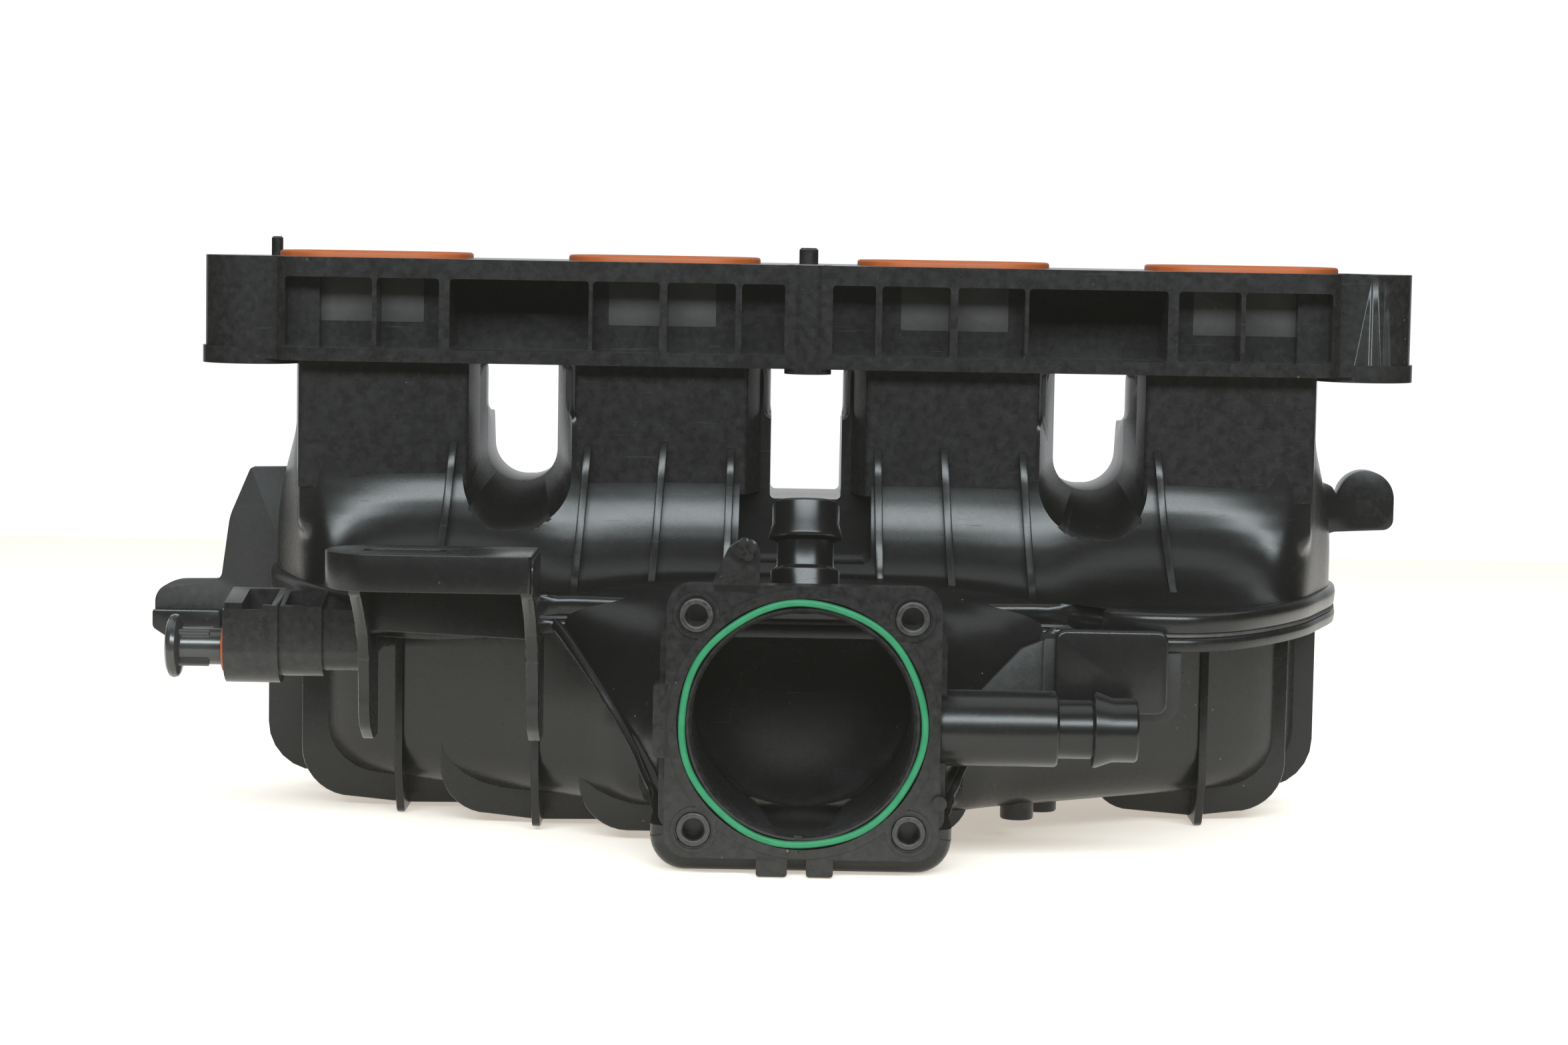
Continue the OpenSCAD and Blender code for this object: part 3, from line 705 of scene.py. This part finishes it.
bore = lathe([(0, -10), (30.0, -10), (30.0, 7.0), (30.9, 8.2), (30.9, 12), (0, 12)], (0, -87, THROTTLE_Z),
             TOWARDS_FRONT, 96)
cut(plate, groove, bore, *[rod("Y", (x, -80, z), 20, 4.8, 40) for x, z in SCREWS],
    *[lathe([(0, 0), (5.3, 0), (5.3, 3), (0, 3)], (x, PLATE_FRONT, z), TOWARDS_FRONT, 40) for x, z in SCREWS],
    rounded([(-2.6, -150), (1.0, -150), (-0.6, -157.5)], "Y", -100, -94.3, 0.4))
finish(plate, "throttle_plate", SKIN, round_edges=0.35, crease=38)

# The box behind the plate, and the lower shell's cup round its foot, which is a little wider and rounded in front
box = front_plate((-38.8, -153), (38.8, -96), -87.5, -46, 5, "throttle_box")
CUP_HALF = 41
CUP_TOP = -151.5
CUP_CORNER = 9.5
cup_outline = [(-CUP_HALF, CUP_TOP), (-CUP_HALF, -155)]
for side, start in ((-1, 180), (1, 270)):
    for a in range(0, 91, 10):
        turn = math.radians(start + a)
        cup_outline.append((side * 31.5 + CUP_CORNER * math.cos(turn), -154.5 + CUP_CORNER * math.sin(turn)))
cup_outline += [(CUP_HALF, -155), (CUP_HALF, CUP_TOP)]
cup = loft([[(x * (CUP_HALF - inset) / CUP_HALF, y, CUP_TOP + (z - CUP_TOP) * (12.5 - inset) / 12.5)
             for x, z in cup_outline]
            for inset, y in ((3.2, -87.2), (1.4, -86.4), (0.4, -85), (0, -83), (0, -46))])
add(box, cup)
cut(box, front_plate((-35.5, -161), (35.5, -90), -84, -40, 7), rod("Y", (0, -80, THROTTLE_Z), 20, 30.5, 96))
finish(box, "throttle_box", SKIN, round_edges=0.5, crease=38)

# ---- Weld bead of the neck ----
# Between the neck and the box a ragged bead of melted nylon squeezed out, stepping down both sides.
BEAD = [(-3, 3, 1.5), (1.2, -1.2, 2.4), (1.9, -2.0, 0.2), (1.0, -1.0, -2.2), (-3, 3, -2)]

for s, side in ((-1, "left"), (1, "right")):
    spine = curve_through([(s * 72, -45.5, -98.5), (s * 62, -53, -110), (s * 50, -64, -126), (s * 41, -77, -141),
                           (s * 39.2, -85, -146)], 5)
    sections = []
    for spot in spine:
        wobble = 0.7 * noise.noise(spot * 0.35)
        sections.append([(spot.x + s * (dx + wobble), spot.y + dy, spot.z + dz + wobble) for dx, dy, dz in BEAD])
    finish(bar(sections), f"neck_bead_{side}", SKIN, round_edges=0.4, crease=50)

# Below the bead the lower shell closes the neck with its own walls, which draw in towards the box. Each section has
# its place, then its half width and height at the top and at the foot.
THROAT = [(-40, 76, -100, 52, -140), (-53, 62, -111, 47, -150), (-66, 48.5, -127, 41, -151),
          (-86, 38.2, -144, 38.2, -152)]
throat = loft([[(-wide, y, high), (wide, y, high), (narrow, y, (high + low) / 2), (narrow - 3, y, low),
                (3 - narrow, y, low), (-narrow, y, (high + low) / 2)] for y, wide, high, narrow, low in THROAT])
cut(throat, rod("Y", (0, -30, THROTTLE_Z), 60, 30.4, 96))
finish(throat, "neck_underside", SKIN, round_edges=1.2, segments=3)

# ---- Lower shell: belly ----
# The plenum's lower half, a deep tub with rounded ends, stiffened by frames round it and ribs along it.
BELLY = [(0, -52), (45, -52), (62, -42), (104, -14), (140, 12), (150, REAR_Y)]


def belly_ring(inset, z):
    """The tub's outline at a height, drawn in by an inset except at the open back."""
    half = curve_through(BELLY, 4)
    ring = []
    for x, y in whole_ring(half):
        along = Vector((x, y - REAR_Y))
        k = max(0.0, 1 - inset / max(20.0, along.length))
        ring.append((x * k, REAR_Y + (y - REAR_Y) * k if y < REAR_Y - 0.1 else y, z))
    return ring


levels = [(0.0, -102.5), (0.0, -139)] + [(15 * (1 - math.cos(a)), -139 - 15 * math.sin(a))
                                          for a in (math.radians(15 * k) for k in range(1, 7))]
tub = loft([belly_ring(inset, z) for inset, z in levels], "belly")
chamber = loft([belly_ring(4.5, z) for z in (-101, -140)] + [belly_ring(12, -148)])
chamber.data.transform(Matrix.Translation((0, 1.5, 0)))
cut(tub, chamber, rod("Y", (0, -30, THROTTLE_Z), 60, 30.4, 96))
finish(tub, "belly", SKIN, crease=45)
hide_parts("plenum_shell")


FRAME_FOOT = -161.3


def frame_plate(y, x0, x1, r0, r1, name, middle=None):
    """A stiffening frame seen from the front; its bottom edge sags to the ribs between its rounded corners."""
    angles = [math.radians(a) for a in range(0, 91, 10)]
    steps = [(x0 + r0 - r0 * math.cos(a), FRAME_FOOT + r0 - r0 * math.sin(a)) for a in angles]
    if middle:
        steps += [(middle, FRAME_FOOT - 1.5)]
    steps += [(x1 - r1 + r1 * math.sin(a), FRAME_FOOT + r1 - r1 * math.cos(a)) for a in angles]
    outline = [(x0, -102), *steps, (x1, -102)]
    made = rounded(outline, "Y", y - 1.5, y + 1.5)
    return finish(made, name, SKIN, round_edges=0.6, crease=45)


frame_plate(15, -149, 38, 15, 8, "frame_back", -118)
frame_plate(-12, -105, 38, 14, 8, "frame_middle", -77)
frame_plate(-38, -63, 48, 14, 12, "frame_front")
frame_plate(15, 87, 145, 12, 15, "frame_lobe", 118)
for i, (x, y0, y1, foot) in enumerate([(-118, -6, 36, -164), (118, -6, 36, -164), (-76, -34, 8, -163)]):
    rib = rounded([(y0, -104), (y1, -104), (y1, foot), (y0 + 8, foot), (y0, foot + 14)], "X", x - 1.2, x + 1.2,
                  [0, 0, 1, 2, 3])
    finish(rib, f"belly_rib_{i + 1}", SKIN, round_edges=0.4)
STAYS = [(62.5, -25.0), (70.2, -10.0)]
for i, (x, y) in enumerate(STAYS):
    boss = lathe([(0, 0), (4.5, 0), (4.8, 0.4), (5.3, 54), (0, 54)], (x, y, -158), steps=40)
    cut(boss, rod("Z", (x, y, -160), 12, 3.2, 32))
    finish(boss, f"stay_boss_{i + 1}", SKIN, crease=45)

# ---- Sensor tongue ----
# A tab hangs from the right shoulder: a smooth block in front of a grained plate, with a gusset beside it.
tongue = rounded([(69, -121), (100, -121), (100, -98), (69, -98)], "Y", -72.5, -67.5, 3.0)
finish(tongue, "sensor_tongue", SKIN, round_edges=0.9, segments=3)
shelf = rounded([(66, -124), (104, -124), (104, -101), (66, -101)], "Y", -68, -63, [3, 6, 1, 1])
add(shelf, block((66, -67.9, -107), (104, -55, -101), 1.0))
finish(shelf, "tongue_plate", GRAINED, round_edges=0.5)
gusset = rounded([(67.5, -101), (67.5, -122), (46, -119), (60, -104)], "Y", -67, -64, 0.6)
finish(gusset, "tongue_gusset", GRAINED, round_edges=0.3)

# ---- Cable bracket console ----
# A slotted shelf in front of the left shoulder, carried by two webs whose front edges sweep down to the box, with a
# back wall between them.
slab = rounded([(-73, -100), (-73, -70), (-129.5, -70), (-129.5, -100)], "Z", -88, -78, [1.5, 0.5, 14.5, 14.5], 12)
cut(slab, rounded([(-119.5, -88.5), (-96.5, -88.5), (-96.5, -81.5), (-119.5, -81.5)], "Z", -95, -70, 3.49, 8))
finish(slab, "console_slab", SKIN, round_edges=0.9, segments=3, crease=50)
SWEEP = [(-70, -79), (-97.5, -79), (-98.5, -88), (-93, -91), (-84, -97), (-76, -104.5), (-73, -115), (-72.5, -127),
         (-62, -133), (-52, -133), (-52, -104), (-70, -104)]
for i, (x0, x1) in enumerate(((-76, -72.5), (-122, -118.8))):
    web = rounded(SWEEP, "X", x0, x1, [0, 3, 3, 4, 6, 6, 6, 5, 2, 0, 0, 0], 5)
    finish(web, f"console_web_{i + 1}", SKIN, round_edges=0.5, crease=40)
back = rounded([(-121, -101.5), (-73, -103.5), (-73, -82), (-121, -82)], "Y", -71.5, -68, 0.3)
finish(back, "console_back", SKIN, round_edges=1.0, segments=3)

# ---- Purge socket ----
# An open trough on the left holds the purge valve's connection: three steps of half-round wall round a bore, whose
# mouth takes an orange ring and the plug.


SOCKET_Y = -52
SOCKET_Z = -109


def trough(x0, x1, radius, top_front, top_back, centre=SOCKET_Z):
    """A half-round wall along X, open above, with upright sides."""
    y0, y1 = SOCKET_Y - radius, SOCKET_Y + radius
    arc = [(SOCKET_Y + radius * math.sin(math.radians(a)), centre - radius * math.cos(math.radians(a)))
           for a in range(-90, 91, 15)]
    return rounded([(y0, top_front), *arc, (y1, top_back)], "X", x0, x1)


body = trough(-161, -145.8, 9.9, -96.4, -93.2)
add(body, trough(-146, -133.8, 7.9, -96.6, -93.5), trough(-134, -119.5, 6.2, -97.5, -95),
    rod("Y", (-126, 4, SOCKET_Z), 56, 5.8),
    block((-160, -46, -106), (-112, -22, -101.5), 1))
cut(body, trough(-156, -147.6, 8.2, -80, -80, -107.5), trough(-144.3, -135.2, 6.4, -80, -80, -107.5),
    rod("X", (-165, SOCKET_Y, SOCKET_Z), 31, 5.25), rod("X", (-140, SOCKET_Y, SOCKET_Z), 15, 3.6),
    rod("X", (-163, SOCKET_Y, SOCKET_Z), 5.5, 7.5), block((-162, -62.5, -97.5), (-150, -59, -80)))
finish(body, "purge_socket", SKIN, round_edges=0.35, crease=38)

# ---- Hose nipples ----
# The brake servo nipple stands on the neck and leans back; the breather nipple sticks out of the plate's right side.
# Both are turned outlines with a parting line down each side.
LEANING = Matrix.Rotation(math.radians(-12), 4, "X")
SERVO_FOOT = (0, -70, -90)
servo = lathe([(0, -4), (10.6, -4), (9.6, -1.2), (9.25, 0.5), (9.25, 6.6), (8.8, 7.1), (7.65, 7.8), (7.65, 14.8),
               (9.9, 15.5), (10.15, 15.9), (10.15, 16.8), (9.0, 19.6), (9.0, 25.4), (8.4, 26), (6.0, 26), (5.6, 25.4),
               (5.5, -2), (0, -2)], SERVO_FOOT, LEANING, 64, "servo")
parting = []
for s in (-1, 1):
    fin = rounded([(s * 7, 0), (s * 9.45, 0), (s * 9.45, 6.6), (s * 7.85, 8.0), (s * 7.85, 14.6), (s * 10.3, 15.8),
                   (s * 9.2, 19.6), (s * 9.2, 25), (s * 7, 25)][::s], "Y", -0.3, 0.3)
    fin.data.transform(Matrix.Translation(SERVO_FOOT) @ LEANING)
    parting.append(fin)
add(servo, *parting)
finish(servo, "servo_nipple", SKIN, round_edges=0.15, crease=36)
breather = lathe([(0, -3), (10.25, -3), (10.25, 31.4), (9.8, 32), (7.9, 32.3), (7.9, 41.2), (10.0, 41.7),
                  (10.25, 42.0), (10.2, 42.6), (8.65, 47), (8.65, 53.1), (8.2, 53.7), (5.9, 53.7), (5.5, 53.1),
                  (5.5, -2), (0, -2)], (37, -83, -124), ALONG_X, 64, "breather")
lines = []
for s in (-1, 1):
    fin = rounded([(37, s * 7 - 124), (37, s * 10.45 - 124), (68.4, s * 10.45 - 124), (69.3, s * 8.1 - 124),
                   (78.2, s * 8.1 - 124), (79.6, s * 10.4 - 124), (84, s * 8.8 - 124), (90, s * 8.8 - 124),
                   (90, s * 7 - 124)], "Y", -83.3, -82.7)
    lines.append(fin)
add(breather, *lines)
finish(breather, "breather_nipple", SKIN, round_edges=0.15, crease=36)

# ---- Rear shell ----
# The plenum's back, a shallow pan welded on: a wide flange with rounded corners, a bracket arm with a lug on the
# left, a short arm with a round knob on the right, and two ribs below.
flange_back = front_plate((-162, -157), (156, -72), 35, 40, [15, 15, 20, 20], "rear_flange")
pan = front_plate((-150, -153), (150, -73), 39, 60, 17)
cut(pan, front_plate((-147, -150), (147, -76), 30, 57, 14))
add(flange_back, pan)
cut(flange_back, front_plate((-146.9, -149.9), (146.9, -76.1), 30, 45, 14))
finish(flange_back, "rear_shell_pan", GRAINED, round_edges=1.4, crease=45, segments=3)
arm = rounded([(-148, -64.5), (-168.7, -65), (-175, -80), (-177.6, -99.5), (-193, -99.8), (-197.7, -104),
               (-197.7, -114), (-193, -117), (-148, -117)], "Y", 40, 46, [0, 0.8, 2, 2, 4, 3, 1, 1, 0])
finish(arm, "rear_bracket", GRAINED, round_edges=0.8)
lug = rounded([(-177, -108.4), (-197.7, -108.4), (-197.7, -114), (-193, -117), (-177, -117)], "Y", 35.2, 41,
              [1, 1, 1, 1, 1])
finish(lug, "bracket_lug", SKIN, round_edges=0.5)
knob_arm = rounded([(138, -84), (150, -66), (160, -64), (163, -69), (179.6, -69), (179.6, -78), (160, -79),
                    (150, -92)], "Y", 40, 47.5, [0, 3, 2, 0.5, 0.5, 3, 2, 0])
add(knob_arm, rod("Y", (171, 48, -68.8), 8, 8.6, 48))
finish(knob_arm, "rear_knob", SKIN, round_edges=0.6)
for i, x in enumerate((-118, 118)):
    rib = rounded([(39, -163.5), (49, -163.5), (59.5, -156), (59.5, -130), (39, -130)], "X", x - 1.2, x + 1.2,
                  [0.5, 2, 2, 0.5, 0])
    finish(rib, f"rear_rib_{i + 1}", SKIN, round_edges=0.4)
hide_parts("rear_shell")

# ---- Rubber seals ----
# Silicone rings pressed into grooves: an orange band round each port, a green ring round the throttle bore, pulled a
# little out of true by its groove, and a small orange ring in the purge socket's mouth.


def clouded(name, dark, light, rough, cloud, grain):
    """A material between two tones. rough is a range; cloud is its noise's scale and detail; grain is the bump's
    height in metres, its strength, and the scale of its own noise or None to follow the clouds."""
    material = bpy.data.materials.new(name)
    material.use_nodes = True
    tree = material.node_tree
    shader = tree.nodes["Principled BSDF"]
    link = tree.links.new
    place = tree.nodes.new("ShaderNodeTexCoord").outputs["Object"]
    clouds = tree.nodes.new("ShaderNodeTexNoise")
    clouds.inputs["Scale"].default_value, clouds.inputs["Detail"].default_value = cloud
    link(place, clouds.inputs["Vector"])
    tone = tree.nodes.new("ShaderNodeMix")
    tone.data_type = "RGBA"
    tone.inputs[6].default_value = (*dark, 1)
    tone.inputs[7].default_value = (*light, 1)
    link(clouds.outputs["Fac"], tone.inputs[0])
    link(tone.outputs[2], shader.inputs["Base Color"])
    dull = tree.nodes.new("ShaderNodeMapRange")
    for key, number in (("From Min", 0.3), ("From Max", 0.7), ("To Min", rough[0]), ("To Max", rough[1])):
        dull.inputs[key].default_value = number
    link(clouds.outputs["Fac"], dull.inputs["Value"])
    link(dull.outputs["Result"], shader.inputs["Roughness"])
    height, strength, scale = grain
    relief = clouds
    if scale:
        relief = tree.nodes.new("ShaderNodeTexNoise")
        relief.inputs["Scale"].default_value = scale
        link(place, relief.inputs["Vector"])
    bump = tree.nodes.new("ShaderNodeBump")
    bump.inputs["Distance"].default_value = height
    bump.inputs["Strength"].default_value = strength
    link(relief.outputs["Fac"], bump.inputs["Height"])
    link(bump.outputs["Normal"], shader.inputs["Normal"])
    return material


def rubber(name, colour, rough):
    made = clouded(name, [0.72 * c for c in colour], [1.2 * c for c in colour], (rough - 0.08, rough + 0.1),
                   (210.0, 4.0), (0.00004, 0.5, 2600.0))
    made.node_tree.nodes["Principled BSDF"].inputs["Specular IOR Level"].default_value = 0.35
    return made


ORANGE = rubber("orange_silicone", (0.36, 0.082, 0.016), 0.5)
GREEN = rubber("green_rubber", (0.016, 0.175, 0.075), 0.42)
for i, port in enumerate(PORTS):
    band = block((port - 27.85, -20.35, -3), (port + 27.85, 20.35, 1.7), 17)
    cut(band, block((port - 23.85, -16.35, -4), (port + 23.85, 16.35, 3), 13))
    finish(band, f"port_gasket_{i + 1}_rubber", ORANGE, round_edges=0.8, segments=3)
    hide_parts(f"port_gasket_{i + 1}")
ring = lathe([(31.75, 0), (33.65, 0), (33.65, 3.1), (33.2, 3.6), (32.2, 3.6), (31.75, 3.1), (31.75, 0)],
             (0, -92, THROTTLE_Z), TOWARDS_FRONT, 96)
for v in ring.data.vertices:
    out = Vector((v.co.x, 0, v.co.z - THROTTLE_Z))
    v.co += 0.22 * math.cos(7 * math.atan2(out.z, out.x) + 0.6) * out.normalized()
finish(ring, "throttle_seal_rubber", GREEN, round_edges=0.2)
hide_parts("throttle_seal")
ring = lathe([(5.2, 0), (7.4, 0), (7.4, -3.7), (6.9, -4.6), (5.8, -4.6), (5.2, -3.9), (5.2, 0)],
             (-157.5, SOCKET_Y, SOCKET_Z), ALONG_X, 48)
finish(ring, "socket_ring_rubber", ORANGE, round_edges=0.2)
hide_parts("socket_seal")

# ---- Metal inserts and limiters ----
# Turned parts pressed or moulded into the nylon: blackened steel inserts for the throttle and stay screws, and zinc
# plated sleeves that take the head bolts' load.


def metal(name, colour, rough):
    made = clouded(name, [0.5 * c for c in colour], colour, (rough - 0.1, rough + 0.12), (700.0, 5.0),
                   (0.00002, 0.4, None))
    made.node_tree.nodes["Principled BSDF"].inputs["Metallic"].default_value = 1.0
    return made


BLACKENED = metal("blackened_steel", (0.10, 0.098, 0.095), 0.42)
ZINC = metal("zinc_plate", (0.52, 0.52, 0.54), 0.32)
for i, (x, z) in enumerate(SCREWS):
    insert = lathe([(2.8, 0), (4.8, 0), (4.8, 7.5), (4.4, 7.9), (3.3, 7.9), (2.8, 7.4), (2.8, 0)], (x, -87.0, z),
                   TOWARDS_FRONT, 48)
    finish(insert, f"throttle_insert_{i + 1}_steel", BLACKENED, round_edges=0.1)
    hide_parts(f"throttle_insert_{i + 1}")
for i, (x, y) in enumerate(BOLTS):
    sleeve = lathe([(3.3, -31), (4.7, -31), (4.7, -0.3), (4.4, 0), (3.6, 0), (3.3, -0.3), (3.3, -31)], (x, y, 0),
                   steps=48)
    finish(sleeve, f"head_limiter_{i + 1}_steel", ZINC, round_edges=0.1)
    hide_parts(f"head_limiter_{i + 1}")
for i, (x, y) in enumerate(STAYS):
    insert = lathe([(2.0, 0.4), (2.4, 0), (3.2, 0), (3.2, 10), (2.0, 10), (2.0, 0.4)], (x, y, -158), steps=32)
    finish(insert, f"stay_insert_{i + 1}_steel", BLACKENED, round_edges=0.1)
    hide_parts(f"stay_insert_{i + 1}")

# ---- Transit plug ----
# A glossy grey moulded plug keeps dirt out of the purge socket: a mushroom head, short ribs behind it and a shank.
PLUG = nylon("plug_gloss", (0.022, 0.0215, 0.021), 0.2, 0.00002, 1.0, 0.6)
plug = lathe([(0, 0), (7.4, 0), (8.6, 0.7), (8.95, 1.7), (8.6, 2.8), (7.6, 3.4), (5.4, 3.8), (5.1, 4.4), (5.1, 35.5),
              (3.6, 37.5), (0, 37.5)], (-177.5, SOCKET_Y, SOCKET_Z), ALONG_X, 64, "plug")
fins = []
for k in range(4):
    a = math.radians(45 + 90 * k)
    fin = block((-174.3, -0.5, 4.0), (-165.5, 0.5, 6.7), 0.2)
    fin.data.transform(Matrix.Translation((0, SOCKET_Y, SOCKET_Z)) @ Matrix.Rotation(a, 4, "X"))
    fins.append(fin)
add(plug, *fins)
finish(plug, "plug_moulding", PLUG, round_edges=0.3, body="plug")
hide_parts("transit_plug")
